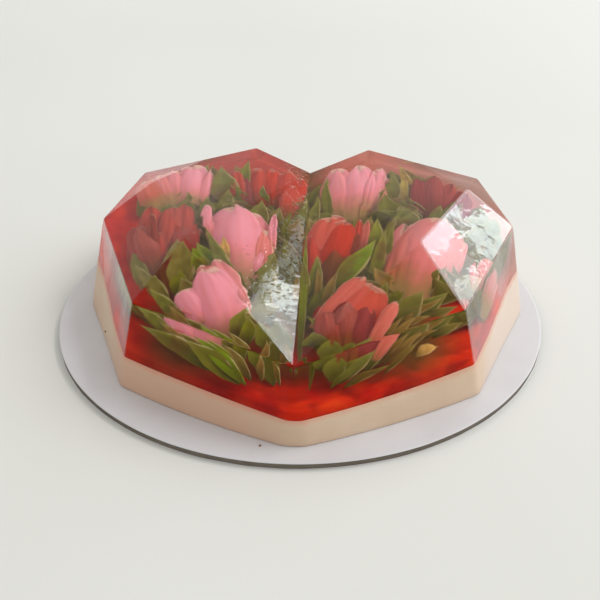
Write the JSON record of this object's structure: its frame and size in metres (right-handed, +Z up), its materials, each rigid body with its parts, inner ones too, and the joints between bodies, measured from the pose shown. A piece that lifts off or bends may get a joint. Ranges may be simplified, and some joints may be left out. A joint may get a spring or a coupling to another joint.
{
  "type": "moulded jelly cake",
  "caption": "Faceted heart of clear jelly holding sunken tulips and leaves, over a thin red layer and a milk-jelly base, served on a round white cake board.",
  "frame": {"origin": "centre of the cake board's underside", "axes": "+Z up, +Y from the heart's tip towards its notch, +X to the right seen from the tip"},
  "size_m": [0.24, 0.24, 0.0584],
  "materials": {
    "board_paper": "smooth coated white paper over board",
    "board_core": "cut grey-brown card edge",
    "milk_jelly": "opaque cream-coloured jelly, soft wet sheen",
    "red_jelly": "deep red jelly, smooth",
    "clear_jelly": "clear jelly with a faint pink haze, glossy and slightly uneven",
    "petal_jelly": "opaque coloured jelly petals, pink and coral, inside the clear jelly",
    "leaf_jelly": "opaque olive-green jelly leaves inside the clear jelly"
  },
  "bodies": {
    "root": {"cake_board": "board_paper", "milk_jelly_base": "milk_jelly", "red_jelly_layer": "red_jelly", "clear_jelly": "clear_jelly"}
  },
  "joints": []
}
